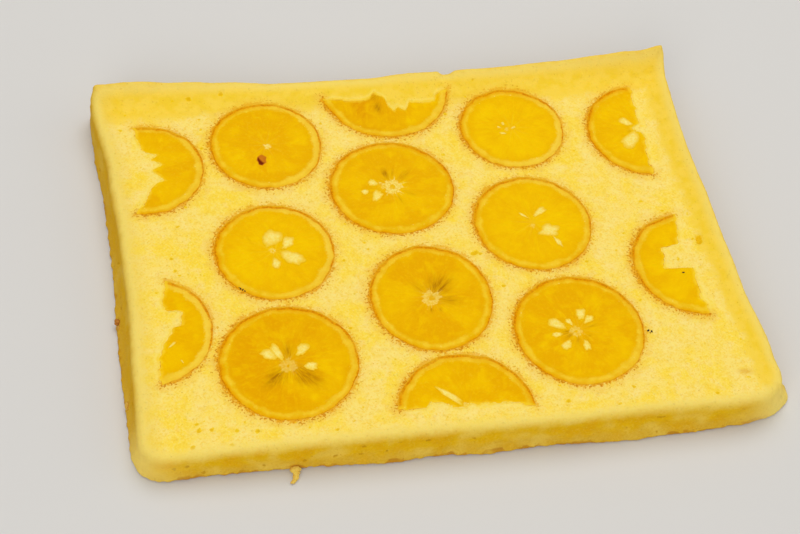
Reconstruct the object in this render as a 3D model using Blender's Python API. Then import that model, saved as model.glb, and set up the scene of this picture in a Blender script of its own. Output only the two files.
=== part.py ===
"""Orange swiss roll sheet, unrolled: one baked sponge sheet with orange slices set flush in its top.

Sizes are in millimetres and become metres where a mesh is made. +X runs along the sheet, +Y to its
back edge and +Z up. The sheet rests on Z = 0, on its flat baked underside.
"""
import math

import bmesh
import bpy
from mathutils import Matrix, Vector

MM = 0.001
GAP = 0.3            # clearance between the sponge and a slice set in it

# ---- sponge sheet -------------------------------------------------------------------------------
THICKNESS = 21.5     # of the sponge in the middle of the sheet
RIM_WIDTH = 16.0     # how far in from the edge the raised back and right rims begin
RIM_CURVE = 1.7      # how hollow the rise to the rims is
WALL_FLARE = 1.4     # how the walls curve out to the foot
SHOULDER = {"left": 5.0, "right": 3.0, "front": 5.5, "back": 2.2}
WALL_LEVELS = (0.72, 0.40, 0.09, 0.0)
FOOT_ROUNDING = 0.9

# Each edge is a smooth line through (place along the edge, distance from the sheet's own middle).
FOOT = {
    "left": ((-112, -164.4), (-95, -165.9), (-35, -166.6), (8, -165.4), (22, -165.5), (50, -166.4),
             (85, -168.8), (108, -169.4)),
    "right": ((-112, 176.9), (-85, 171.8), (-40, 167.2), (20, 164.6), (110, 162.6)),
    "front": ((-150, -121.2), (-128, -120.2), (-80, -120.4), (-45, -122.3), (-20, -120.6), (4, -122.2),
              (35, -120.4), (66, -122.0), (100, -120.6), (130, -118.4), (158, -112.2)),
    "back": ((-160, 121.5), (160, 121.5)),
}
CREST = {
    "left": ((-120, -162.8), (-75, -161.8), (-20, -160.4), (10, -161.0), (60, -163.4), (108, -168.6)),
    "right": ((-118, 170.0), (-88, 166.0), (-48, 161.1), (0, 158.9), (55, 156.3), (112, 157.7)),
    "front": ((-160, -119.4), (40, -119.2), (90, -117.8), (130, -117.4), (160, -114.0)),
    "back": ((-160, 118.0), (-100, 117.0), (60, 116.8), (160, 118.4)),
}
# How far the rims stand up, along the back edge and along the right edge.
BACK_RIM = ((-165, 9.0), (-148, 10.0), (-121, 7.4), (-95, 5.0), (-67, 1.6), (-12, 2.3), (8, 5.2),
            (48, 6.0), (96, 8.2), (120, 10.4), (135, 12.2), (158, 12.2))
RIGHT_RIM = ((-110, 0.0), (-48, 3.0), (0, 4.6), (60, 5.2), (112, 5.2))
# Corner radius at the foot and at the crest, by the corner's (x sign, y sign).
CORNER = {(-1, -1): (14, 14), (1, -1): (15, 17), (-1, 1): (6, 5), (1, 1): (8, 5)}

# ---- orange slices ------------------------------------------------------------------------------
SLICE_DEPTH = 3.0    # thickness of a slice
ZEST = 0.7           # width of the coloured outer skin of the rind
PITH = 2.8           # width of the pale ring inside it
CORE = 2.4           # radius of the pale core
ROUND_STEPS = 30     # sides of a slice's outline

# name: (x, y, radius along x, radius along y, segments)
WHOLE_SLICES = {
    "slice_1": (-77.4, 72.3, 30.2, 30.2, 10),
    "slice_2": (-13.6, 37.0, 33.7, 31.9, 10),
    "slice_3": (60.7, 74.5, 29.0, 29.0, 10),
    "slice_4": (57.9, 6.3, 31.9, 31.9, 10),
    "slice_5": (-82.1, -0.9, 31.1, 31.1, 10),
    "slice_6": (-5.7, -38.0, 31.9, 33.5, 10),
    "slice_7": (-84.1, -70.7, 34.9, 33.7, 10),
    "slice_8": (67.1, -65.4, 33.9, 33.9, 10),
}
HALF_SLICES = {
    "half_slice_1": (-143.3, 60.7, 30.8, 30.8, 10),
    "half_slice_2": (-6.1, 109.0, 36.0, 36.0, 10),
    "half_slice_3": (135.9, 67.2, 32.6, 32.6, 10),
    "half_slice_4": (140.0, -28.1, 34.3, 34.3, 10),
    "half_slice_5": (-151.5, -44.7, 32.2, 32.2, 10),
    "half_slice_6": (0.2, -109.2, 34.6, 34.6, 10),
}
# The ragged line where the sponge has closed over the missing half, from the slice's own centre, and
# the side that the sponge covers.
CUT_LINE = {
    "half_slice_1": ((-1, 0), ((-4.3, 33), (-3.7, 25.6), (-1.8, 17.9), (0, 12.9), (7.3, 10), (3.3, 6.9),
                               (9.1, 2.4), (3.4, -0.4), (9.1, -8.7), (3.3, -10.3), (-2.1, -21.6),
                               (-8.6, -33))),
    "half_slice_2": ((0, 1), ((-38, -4.5), (-30.8, -6.9), (-11.9, -7.1), (-6.1, -2.6), (-0.5, -7.1),
                              (0.2, -13.6), (3.3, -16.9), (5.5, -13.4), (9.6, -16.9), (12.7, -10),
                              (27.6, -11), (28.8, -5.3), (38, -1.3))),
    "half_slice_3": ((1, 0), ((-0.6, 35), (-0.3, 28), (-1.4, 11.5), (-1.1, 4.9), (-5.4, 2.2),
                              (-5.6, -0.2), (-1.2, -3.4), (-0.9, -7), (-2.9, -19.7), (-2.5, -35))),
    "half_slice_4": ((1, 0), ((-3.2, 37), (-2.4, 31), (-4, 18), (-6.5, 13.1), (-15.9, 11.8), (-15.3, 7.5),
                              (-18.1, -2.9), (-6.5, -3), (-2.6, -3.6), (-1.8, -16.8), (-2.9, -24.1),
                              (-0.9, -28.1), (-1.8, -37))),
    "half_slice_5": ((-1, 0), ((11.6, 35), (11.1, 25.2), (8.4, 20.1), (8.6, 12), (17.1, 10.5),
                               (16, 1.3), (11.3, 2.1), (10.9, -3.1), (5.8, -9.6), (4, -21.9),
                               (3.2, -35))),
    "half_slice_6": ((0, -1), ((-37, 4.6), (-20.4, 3.8), (-17.5, 6.8), (-12.5, 7), (-4.5, 2.3),
                               (3.1, 4), (20.5, 3.4), (27, 1.8), (37, 0))),
}
# Seed pockets that the sponge has filled: (x, y) from the slice's centre, size along, size across, turn
POCKETS = {
    "slice_2": ((-10, 5.4, 6, 5.4, 0), (-15.5, -0.2, 4.1, 4.6, 0), (-9.8, -4.9, 8.2, 6.2, 60)),
    "slice_4": ((4.9, 7.6, 9.2, 5, 35), (7.6, -5.4, 11, 8.6, 20), (10.6, -11.6, 7, 3, -65)),
    "slice_5": ((-1.1, 9.8, 10.6, 8.6, 70), (6.9, 5.4, 7.4, 5.4, 55), (7.1, -3.3, 9, 8, -40),
                (-1.4, -7.1, 6.5, 3.8, 80)),
    "slice_7": ((-9.8, 7.1, 8.6, 5.6, 140), (-5.1, 8.7, 9.6, 4.2, 115), (6.5, 8.7, 8.6, 6, 60),
                (10.3, -2, 5.4, 4.8, 0)),
    "slice_8": ((-10.9, 6, 9.2, 6.2, 150), (-4.1, 6.5, 4.4, 2.7, 110), (2.7, 11.4, 6.5, 4.9, 85),
                (6, 7.1, 6.4, 4.6, 40), (-12.5, -0.8, 4.9, 2.7, 0), (-8.7, -7.8, 6.6, 4.8, 50),
                (1.4, -8.9, 6.5, 3.3, 95)),
    "half_slice_3": ((-9, 6, 7, 5.6, 60), (-9.6, -7, 11, 7, 50)),
    "half_slice_6": ((-8.1, 10.8, 14.6, 3.2, -42),),
}
SEED_HOLE = (-3.6, -10.3, 6.2, 4.6, 100)    # on slice_1: place, length, width and turn

# ---- marks of the crumb: (x, y, height, size along, size across, half its thickness, turn) ----------
CRUMBS = (
    (-85.8, -123.7, 1.05, 12.0, 4.0, 0.95, 98),    # a shred that hangs from the front edge
    (-166.2, -25.8, 3.4, 5.4, 4.2, 2.6, 84),       # a browned crumb on the left wall
)
DENTS = (
    (145.8, -12.6, 22.0, 6.4, 4.0, 2.6, 62),       # a burst bubble near the right edge
    (31.0, 119.5, 26.6, 9.0, 7.0, 2.4, 0),         # a nick in the back rim
)


def through(stations, at):
    """Smooth value at a place, from (place, value) pairs, held level past both ends."""
    if at <= stations[0][0]:
        return stations[0][1]
    for (start, low), (end, high) in zip(stations, stations[1:]):
        if at <= end:
            part = (at - start) / (end - start)
            return low + (high - low) * part * part * (3 - 2 * part)
    return stations[-1][1]


def edge(side, along, level):
    """Where an edge stands at a level of the wall: 0 at the foot, 1 at the crest."""
    foot = through(FOOT[side], along)
    crest = through(CREST[side], along)
    return crest + (foot - crest) * (1 - level) ** WALL_FLARE


def insets(x, y, level=1.0):
    """Distances in from the four edges."""
    return {
        "left": x - edge("left", y, level),
        "right": edge("right", y, level) - x,
        "front": y - edge("front", x, level),
        "back": edge("back", x, level) - y,
    }


def shoulder_drop(near):
    """How far the rounded shoulder has fallen, by the distances in from the edges."""
    drop = 0.0
    for side, radius in SHOULDER.items():
        out = radius - max(near[side], 0.0)
        if out > 0:
            drop = max(drop, radius - math.sqrt(radius * radius - out * out))
    return drop


def top_height(x, y, near=None):
    """Height of the sheet's top: sagging to the front left, with raised back and right rims."""
    near = near or insets(x, y)
    z = THICKNESS
    z -= 3.0 * math.exp(-(((x + 165) / 90) ** 2) - ((y + 120) / 60) ** 2)
    z -= 1.5 * math.exp(-(((x - 165) / 45) ** 2) - ((y + 120) / 50) ** 2)
    z -= 1.0 * math.exp(-(((y + 118) / 25) ** 2))
    z -= 1.0 * math.exp(-(((x + 160) / 30) ** 2))
    z += 0.35 * math.sin(x / 31 + 0.6) * math.cos(y / 27 - 0.4)
    for side, rim, along in (("back", BACK_RIM, x), ("right", RIGHT_RIM, y)):
        inward = min(max(near[side], 0.0) / RIM_WIDTH, 1.0)
        z += through(rim, along) * (1 - inward) ** RIM_CURVE
    return z - shoulder_drop(near)


def sheet_point(u, v, level):
    """Point of the sheet's skin, from its place across (0 to 1), its depth (0 to 1) and its level."""
    along_x = 320 * u - 160
    along_y = 230 * v - 115
    left, right = edge("left", along_y, level), edge("right", along_y, level)
    front, back = edge("front", along_x, level), edge("back", along_x, level)
    x = left + (right - left) * u
    y = front + (back - front) * v
    near = {"left": x - left, "right": right - x, "front": y - front, "back": back - y}
    sign_x = 1 if u > 0.5 else -1
    sign_y = 1 if v > 0.5 else -1
    foot_radius, crest_radius = CORNER[sign_x, sign_y]
    radius = foot_radius + (crest_radius - foot_radius) * level
    into_x = radius - near["right" if sign_x > 0 else "left"]
    into_y = radius - near["back" if sign_y > 0 else "front"]
    if into_x > 0 and into_y > 0:
        # The square corner is drawn in to a round one.
        pull = max(into_x, into_y) / math.hypot(into_x, into_y)
        x += sign_x * into_x * (pull - 1)
        y += sign_y * into_y * (pull - 1)
    return x, y, near


def spaced(span, close, inner):
    """Places across the sheet as parts of the span: close together at both edges, even between."""
    start = close[-1] / span
    even = [start + (1 - 2 * start) * i / inner for i in range(1, inner)]
    ends = [distance / span for distance in close]
    return ends + even + [1 - end for end in reversed(ends)]


def new_object(name, bm, colour, roughness):
    mesh = bpy.data.meshes.new(name)
    bm.to_mesh(mesh)
    bm.free()
    mesh.shade_smooth()
    mesh.set_sharp_from_angle(angle=math.radians(40))
    obj = bpy.data.objects.new(name, mesh)
    bpy.context.scene.collection.objects.link(obj)
    material = bpy.data.materials.new(name)
    material.use_nodes = True
    shader = material.node_tree.nodes["Principled BSDF"]
    shader.inputs["Base Color"].default_value = (*colour, 1)
    shader.inputs["Roughness"].default_value = roughness
    shader.inputs["Metallic"].default_value = 0.0
    mesh.materials.append(material)
    return obj


def helper(name, bm):
    """A cutter: never rendered, drawn as wire."""
    mesh = bpy.data.meshes.new(name)
    bm.to_mesh(mesh)
    bm.free()
    obj = bpy.data.objects.new(name, mesh)
    bpy.context.scene.collection.objects.link(obj)
    obj.hide_render = True
    obj.display_type = "WIRE"
    return obj


def boolean(obj, other, operation="DIFFERENCE"):
    modifier = obj.modifiers.new(other.name, "BOOLEAN")
    modifier.operation = operation
    modifier.solver = "EXACT"
    modifier.object = other


def sponge_body():
    """A grid for the top, its border extruded down the walls ring by ring, and a flat underside."""
    across = spaced(330, (0, 0.4, 1.5, 3.1, 5.4, 9, 14), 26)
    deep = spaced(238, (0, 0.4, 1.5, 3.1, 5.4, 9, 14), 18)
    bm = bmesh.new()
    bmesh.ops.create_grid(bm, x_segments=len(across) - 1, y_segments=len(deep) - 1, size=0.5)
    for vert in bm.verts:
        vert.co.x = across[round((vert.co.x + 0.5) * (len(across) - 1))]
        vert.co.y = deep[round((vert.co.y + 0.5) * (len(deep) - 1))]
        vert.co.z = 1.0
    for level in WALL_LEVELS:
        border = [item for item in bm.edges if item.is_boundary]
        made = bmesh.ops.extrude_edge_only(bm, edges=border)["geom"]
        for vert in made:
            if isinstance(vert, bmesh.types.BMVert):
                vert.co.z = level
    bmesh.ops.edgeloop_fill(bm, edges=[item for item in bm.edges if item.is_boundary])
    for vert in bm.verts:
        u, v, level = vert.co
        crest_x, crest_y, near = sheet_point(u, v, 1.0)
        height = top_height(crest_x, crest_y, near)
        if level == 0:
            # The underside's border is drawn in a little, so the foot is rounded.
            u = 0.5 + (u - 0.5) * (1 - 2 * FOOT_ROUNDING / 330)
            v = 0.5 + (v - 0.5) * (1 - 2 * FOOT_ROUNDING / 238)
        x, y, near = sheet_point(u, v, level)
        vert.co = Vector((x, y, height * level)) * MM
    bmesh.ops.recalc_face_normals(bm, faces=bm.faces)
    return bm


def lean(size, inward):
    """Height and slope of the sheet under a slice, taken where the slice shows."""
    x, y, wide, deep = size[:4]
    x += inward[0] * 0.45 * wide
    y += inward[1] * 0.45 * deep
    reach = 10.0
    slope_x = (top_height(x + reach, y) - top_height(x - reach, y)) / (2 * reach)
    slope_y = (top_height(x, y + reach) - top_height(x, y - reach)) / (2 * reach)
    return lambda px, py: top_height(x, y) + slope_x * (px - x) + slope_y * (py - y)


def slice_body(size, floor):
    """A thin disc draped on the sheet: rings from the rind in to the core, over a flat lower face."""
    cx, cy, wide, deep, segments = size
    whole = (wide + deep) / 2
    rings = (
        (1.0, -0.1, 0.0),
        (1 - ZEST / whole, 0.3, 0.0),
        (1 - (ZEST + PITH) / whole, 0.25, 0.0),
        (1 - (ZEST + PITH + 0.9) / whole, -0.05, 0.15),
        (0.45, -0.05, 0.25),
        (CORE / whole, 0.15, 0.0),
    )
    bm = bmesh.new()
    bmesh.ops.create_circle(bm, segments=ROUND_STEPS, radius=1.0)
    bmesh.ops.edgeloop_fill(bm, edges=bm.edges)
    lower = set(bm.verts)
    steps = {vert: (-1, math.atan2(vert.co.y, vert.co.x)) for vert in bm.verts}
    for number in range(len(rings)):
        ring = [item for item in bm.edges if number == 0 or item.is_boundary]
        made = bmesh.ops.extrude_edge_only(bm, edges=ring)["geom"]
        verts = [item for item in made if isinstance(item, bmesh.types.BMVert)]
        steps.update({vert: (number, math.atan2(vert.co.y, vert.co.x)) for vert in verts})
    inner = [item for item in bm.edges if item.is_boundary]
    cap = bmesh.ops.contextual_create(bm, geom=inner)["faces"]
    middle = bmesh.ops.poke(bm, faces=cap)["verts"][0]
    steps[middle] = (len(rings), 0.0)
    for vert, (number, angle) in steps.items():
        scale = rings[max(number, 0)][0] if number < len(rings) else 0.0
        x = cx + wide * scale * math.cos(angle)
        y = cy + deep * scale * math.sin(angle)
        if vert in lower:
            z = floor(x, y) - SLICE_DEPTH
        elif number == len(rings):
            z = top_height(x, y) + 0.25
        else:
            lift, membrane = rings[number][1:]
            ridge = max(0.0, math.cos(segments * angle)) * membrane
            z = top_height(x, y) + lift + ridge
        vert.co = Vector((x, y, z)) * MM
    bmesh.ops.recalc_face_normals(bm, faces=bm.faces)
    return bm


def recess_body(size, floor):
    """The disc that is taken out of the sponge for a slice, GAP larger all round."""
    cx, cy, wide, deep = size[:4]
    bm = bmesh.new()
    bmesh.ops.create_circle(bm, segments=ROUND_STEPS, radius=1.0, cap_ends=True)
    face = next(iter(bm.faces))
    made = bmesh.ops.extrude_face_region(bm, geom=[face])["geom"]
    upper = {item for item in made if isinstance(item, bmesh.types.BMVert)}
    for vert in bm.verts:
        angle = math.atan2(vert.co.y, vert.co.x)
        x = cx + (wide + GAP) * math.cos(angle)
        y = cy + (deep + GAP) * math.sin(angle)
        z = floor(x, y) + (30 if vert in upper else -SLICE_DEPTH - GAP)
        vert.co = Vector((x, y, z)) * MM
    bmesh.ops.recalc_face_normals(bm, faces=bm.faces)
    return bm


def cover_body(size, side, line, shrink):
    """The prism of sponge that closes over a half slice: its ragged line moved back by shrink."""
    cx, cy = size[:2]
    points = []
    for i, (x, y) in enumerate(line):
        before, after = line[max(i - 1, 0)], line[min(i + 1, len(line) - 1)]
        run = Vector((after[0] - before[0], after[1] - before[1])).normalized()
        normal = Vector((-run.y, run.x))
        if normal.dot(Vector(side)) < 0:
            normal = -normal
        points.append((cx + x + normal.x * shrink, cy + y + normal.y * shrink))
    reach = 60.0
    for x, y in (line[-1], line[0]):
        points.append((cx + x + side[0] * reach, cy + y + side[1] * reach))
    bm = bmesh.new()
    face = bm.faces.new([bm.verts.new(Vector((x, y, 0.0)) * MM) for x, y in points])
    made = bmesh.ops.extrude_face_region(bm, geom=[face])["geom"]
    bmesh.ops.translate(bm, vec=(0, 0, 80 * MM),
                        verts=[item for item in made if isinstance(item, bmesh.types.BMVert)])
    bmesh.ops.recalc_face_normals(bm, faces=bm.faces)
    return bm


def mound(x, y, z, along, across, tall, turn):
    """A low egg-shaped body, half of it above the height z."""
    bm = bmesh.new()
    bmesh.ops.create_uvsphere(bm, u_segments=10, v_segments=4, radius=1.0)
    place = Matrix.Translation(Vector((x, y, z)) * MM) @ Matrix.Rotation(math.radians(turn), 4, "Z")
    size = Matrix.Diagonal((along / 2 * MM, across / 2 * MM, tall * MM, 1.0))
    bmesh.ops.transform(bm, matrix=place @ size, verts=bm.verts)
    return bm


def fuse(obj, bodies):
    """Joins small bodies to an object with one Boolean union and removes them."""
    group = bpy.data.collections.new(obj.name + "_bumps")
    bpy.context.scene.collection.children.link(group)
    for number, bm in enumerate(bodies):
        mesh = bpy.data.meshes.new("bump")
        bm.to_mesh(mesh)
        bm.free()
        group.objects.link(bpy.data.objects.new(f"{obj.name}_bump_{number}", mesh))
    modifier = obj.modifiers.new("bumps", "BOOLEAN")
    modifier.operation = "UNION"
    modifier.solver = "EXACT"
    modifier.operand_type = "COLLECTION"
    modifier.collection = group
    with bpy.context.temp_override(object=obj, active_object=obj):
        bpy.ops.object.modifier_apply(modifier=modifier.name)
    for item in list(group.objects):
        bpy.data.objects.remove(item)
    bpy.data.collections.remove(group)


for item in list(bpy.data.objects):
    bpy.data.objects.remove(item)

SPONGE_COLOUR = (0.95, 0.68, 0.14)
ORANGE_COLOUR = (0.86, 0.46, 0.01)

sponge = new_object("sponge_sheet", sponge_body(), SPONGE_COLOUR, 0.9)
fuse(sponge, [mound(*crumb) for crumb in CRUMBS])
corners = [Vector(corner) for corner in sponge.bound_box]
low = Vector([min(corner[axis] for corner in corners) for axis in range(3)])
high = Vector([max(corner[axis] for corner in corners) for axis in range(3)])
MIDDLE = Vector(((low.x + high.x) / 2, (low.y + high.y) / 2, 0.0))

recesses = bpy.data.collections.new("recesses")
bpy.context.scene.collection.children.link(recesses)

for name, size in {**WHOLE_SLICES, **HALF_SLICES}.items():
    side, line = CUT_LINE.get(name, ((0, 0), ()))
    floor = lean(size, (-side[0], -side[1]))
    orange = new_object(name, slice_body(size, floor), ORANGE_COLOUR, 0.45)
    recess = helper(name + "_recess", recess_body(size, floor))
    recesses.objects.link(recess)
    if line:
        boolean(orange, helper(name + "_cover", cover_body(size, side, line, 0.0)))
        boolean(recess, helper(name + "_lip", cover_body(size, side, line, GAP)))
        with bpy.context.temp_override(object=orange, active_object=orange):
            bpy.ops.object.modifier_apply(modifier=orange.modifiers[0].name)
        bpy.data.objects.remove(bpy.data.objects[name + "_cover"])
    bumps = []
    for x, y, along, across, turn in POCKETS.get(name, ()):
        at_x, at_y = size[0] + x, size[1] + y
        bumps.append(mound(at_x, at_y, top_height(at_x, at_y) - 0.1, along, across, 0.7, turn))
    if bumps:
        fuse(orange, bumps)
    if name == "slice_1":
        x, y, along, across, turn = SEED_HOLE
        at_x, at_y = size[0] + x, size[1] + y
        hole = mound(at_x, at_y, top_height(at_x, at_y) + 0.4, along, across, 2.0, turn)
        boolean(orange, helper("seed_hole", hole))

for number, dent in enumerate(DENTS):
    recesses.objects.link(helper(f"dent_{number}", mound(*dent)))

cut = sponge.modifiers.new("recesses", "BOOLEAN")
cut.operation = "DIFFERENCE"
cut.solver = "EXACT"
cut.operand_type = "COLLECTION"
cut.collection = recesses

origin = bpy.data.objects.new("sheet_origin", None)
bpy.context.scene.collection.objects.link(origin)
for item in list(bpy.data.objects):
    if item is not origin:
        item.parent = origin
origin.location = -MIDDLE
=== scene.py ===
import math
import random

import bpy
import numpy as np
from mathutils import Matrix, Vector, noise


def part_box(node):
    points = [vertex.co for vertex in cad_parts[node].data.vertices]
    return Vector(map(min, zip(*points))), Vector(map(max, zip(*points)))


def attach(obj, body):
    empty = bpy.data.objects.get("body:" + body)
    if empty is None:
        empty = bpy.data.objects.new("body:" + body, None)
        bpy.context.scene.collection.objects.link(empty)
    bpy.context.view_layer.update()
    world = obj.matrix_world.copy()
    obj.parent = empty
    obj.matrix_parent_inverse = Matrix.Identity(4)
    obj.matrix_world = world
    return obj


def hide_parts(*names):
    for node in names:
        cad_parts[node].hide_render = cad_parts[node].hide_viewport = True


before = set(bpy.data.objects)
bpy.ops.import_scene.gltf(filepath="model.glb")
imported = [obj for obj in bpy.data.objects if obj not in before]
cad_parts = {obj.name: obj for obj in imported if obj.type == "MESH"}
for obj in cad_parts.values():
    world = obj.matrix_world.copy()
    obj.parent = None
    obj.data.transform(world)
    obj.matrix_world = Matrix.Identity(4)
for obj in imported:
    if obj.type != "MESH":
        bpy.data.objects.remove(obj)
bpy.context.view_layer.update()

# ---- The baked sheet ------------------------------
# A thin whisked sponge, spread over orange slices in a shallow tin and baked in one piece, then
# turned out with the slices on top. Its top is fine and pale, its walls and underside browner.
# Sizes are in millimetres from the sheet's own middle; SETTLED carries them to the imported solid.
SETTLED = np.array((-2.5087, 4.1623, 0.0))
LENGTH, DEPTH = 338, 240             # over which the skin's columns and rows are spread
LONG_EDGE, SHORT_EDGE = 320, 230     # over which its edges are followed
THICKNESS = 21.5
RIM_WIDTH = 16.0
RIM_CURVE = 1.7
WALL_FLARE = 1.4
SHOULDER = {"left": 5.0, "right": 3.0, "front": 5.5, "back": 2.2}
# Each edge is a smooth line through (place along the edge, distance from the middle).
FOOT = {
    "left": ((-112, -164.4), (-95, -165.9), (-35, -166.6), (8, -165.4), (22, -165.5), (50, -166.4),
             (85, -168.8), (108, -169.4)),
    "right": ((-112, 176.9), (-85, 171.8), (-40, 167.2), (20, 164.6), (110, 162.6)),
    "front": ((-150, -121.2), (-128, -120.2), (-80, -120.4), (-45, -122.3), (-20, -120.6), (4, -122.2),
              (35, -120.4), (66, -122.0), (100, -120.6), (130, -118.4), (158, -112.2)),
    "back": ((-160, 121.5), (160, 121.5)),
}
CREST = {
    "left": ((-120, -162.8), (-75, -161.8), (-20, -160.4), (10, -161.0), (60, -163.4), (108, -168.6)),
    "right": ((-118, 170.0), (-88, 166.0), (-48, 161.1), (0, 158.9), (55, 156.3), (112, 157.7)),
    "front": ((-160, -119.4), (40, -119.2), (90, -117.8), (130, -117.4), (160, -114.0)),
    "back": ((-160, 118.0), (-100, 117.0), (60, 116.8), (160, 118.4)),
}
BACK_RIM = ((-165, 9.0), (-148, 10.0), (-121, 7.4), (-95, 5.0), (-67, 1.6), (-12, 2.3), (8, 5.2),
            (48, 6.0), (96, 8.2), (120, 10.4), (135, 12.2), (158, 12.2))
RIGHT_RIM = ((-110, 0.0), (-48, 3.0), (0, 4.6), (60, 5.2), (112, 5.2))
# Corner radius at the foot and at the crest, by the corner's (x sign, y sign).
CORNER = {(-1, -1): (14, 14), (1, -1): (15, 17), (-1, 1): (6, 5), (1, 1): (8, 5)}
# The nick in the back rim: its place, half its width and its depth.
NICK = (30.6, 3.8, 3.2)

# Where the slices lie, by the name of the solid: (x, y, radius along x, radius along y, tone of the
# flesh from 0, yellow, to 1, deep orange).
SLICES = {
    "slice_1": (-77.4, 72.3, 30.2, 30.2, 0.40),
    "slice_2": (-13.6, 37.0, 33.7, 31.9, 0.41),
    "slice_3": (60.7, 74.5, 29.0, 29.0, 0.0),
    "slice_4": (57.9, 6.3, 31.9, 31.9, 0.09),
    "slice_5": (-82.1, -0.9, 31.1, 31.1, 0.05),
    "slice_6": (-5.7, -38.0, 31.9, 33.5, 0.54),
    "slice_7": (-84.1, -70.7, 34.9, 33.7, 0.66),
    "slice_8": (67.1, -65.4, 33.9, 33.9, 0.47),
    "half_slice_1": (-143.3, 60.7, 30.8, 30.8, 0.41),
    "half_slice_2": (-6.1, 109.0, 36.0, 36.0, 0.57),
    "half_slice_3": (135.9, 67.2, 32.6, 32.6, 0.08),
    "half_slice_4": (140.0, -28.1, 34.3, 34.3, 0.21),
    "half_slice_5": (-151.5, -44.7, 32.2, 32.2, 0.30),
    "half_slice_6": (0.2, -109.2, 34.6, 34.6, 0.37),
}
# The side of a half slice that the sponge has closed over, and the torn line where it stops.
TORN_EDGE = {
    "half_slice_1": ((-1, 0), (
        (-4.3, 33), (-3.7, 25.6), (-1.8, 17.9), (0, 12.9), (7.3, 10), (3.3, 6.9), (9.1, 2.4),
        (3.4, -0.4), (9.1, -8.7), (3.3, -10.3), (-2.1, -21.6), (-8.6, -33))),
    "half_slice_2": ((0, 1), (
        (-38, -4.5), (-30.8, -6.9), (-11.9, -7.1), (-6.1, -2.6), (-0.5, -7.1), (0.2, -13.6),
        (3.3, -16.9), (5.5, -13.4), (9.6, -16.9), (12.7, -10), (27.6, -11), (28.8, -5.3), (38, -1.3))),
    "half_slice_3": ((1, 0), (
        (-0.6, 35), (-0.3, 28), (-1.4, 11.5), (-1.1, 4.9), (-5.4, 2.2), (-5.6, -0.2), (-1.2, -3.4),
        (-0.9, -7), (-2.9, -19.7), (-2.5, -35))),
    "half_slice_4": ((1, 0), (
        (-3.2, 37), (-2.4, 31), (-4, 18), (-6.5, 13.1), (-15.9, 11.8), (-15.3, 7.5), (-18.1, -2.9),
        (-6.5, -3), (-2.6, -3.6), (-1.8, -16.8), (-2.9, -24.1), (-0.9, -28.1), (-1.8, -37))),
    "half_slice_5": ((-1, 0), (
        (11.6, 35), (11.1, 25.2), (8.4, 20.1), (8.6, 12), (17.1, 10.5), (16, 1.3), (11.3, 0.9),
        (10.9, -3.1), (5.8, -9.6), (3.8, -17), (3.0, -24), (3.4, -29), (5, -35))),
    "half_slice_6": ((0, -1), (
        (-37, 4.6), (-20.4, 3.8), (-17.5, 6.8), (-12.5, 7), (-4.5, 2.3), (3.1, 4), (20.5, 3.4),
        (27, 1.8), (37, 0))),
}


def through(stations, at):
    """Smooth value at each place, from (place, value) pairs, held level past both ends."""
    place, value = np.array(stations, float).T
    at = np.clip(at, place[0], place[-1])
    step = np.clip(np.searchsorted(place, at, side="right") - 1, 0, len(place) - 2)
    part = (at - place[step]) / (place[step + 1] - place[step])
    return value[step] + (value[step + 1] - value[step]) * part * part * (3 - 2 * part)


def ease(value, start, end):
    """Smooth step from 0 at start to 1 at end, for arrays."""
    part = np.clip((value - start) / (end - start), 0, 1)
    return part * part * (3 - 2 * part)


def edge(side, along, level):
    """Where an edge stands at a level of the wall: 0 at the foot, 1 at the crest."""
    foot, crest = through(FOOT[side], along), through(CREST[side], along)
    return crest + (foot - crest) * (1 - level) ** WALL_FLARE


def insets(x, y):
    """Distances in from the four edges, at the crest."""
    return {"left": x - edge("left", y, 1.0), "right": edge("right", y, 1.0) - x,
            "front": y - edge("front", x, 1.0), "back": edge("back", x, 1.0) - y}


def top_height(x, y, near=None):
    """Height of the top: sagging to the front left, with raised back and right rims."""
    x, y = np.asarray(x, float), np.asarray(y, float)
    near = near or insets(x, y)
    z = THICKNESS - 3.0 * np.exp(-(((x + 165) / 90) ** 2) - ((y + 120) / 60) ** 2)
    z = z - 1.5 * np.exp(-(((x - 165) / 45) ** 2) - ((y + 120) / 50) ** 2)
    z = z - 1.0 * np.exp(-(((y + 118) / 25) ** 2)) - 1.0 * np.exp(-(((x + 160) / 30) ** 2))
    z = z + 0.35 * np.sin(x / 31 + 0.6) * np.cos(y / 27 - 0.4)
    for side, rim, along in (("back", BACK_RIM, x), ("right", RIGHT_RIM, y)):
        inward = np.clip(near[side] / RIM_WIDTH, 0, 1)
        z = z + through(rim, along) * (1 - inward) ** RIM_CURVE
    drop = np.zeros_like(z)
    for side, radius in SHOULDER.items():
        out = np.clip(radius - np.maximum(near[side], 0), 0, radius)
        drop = np.maximum(drop, radius - np.sqrt(radius * radius - out * out))
    return z - drop


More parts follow.
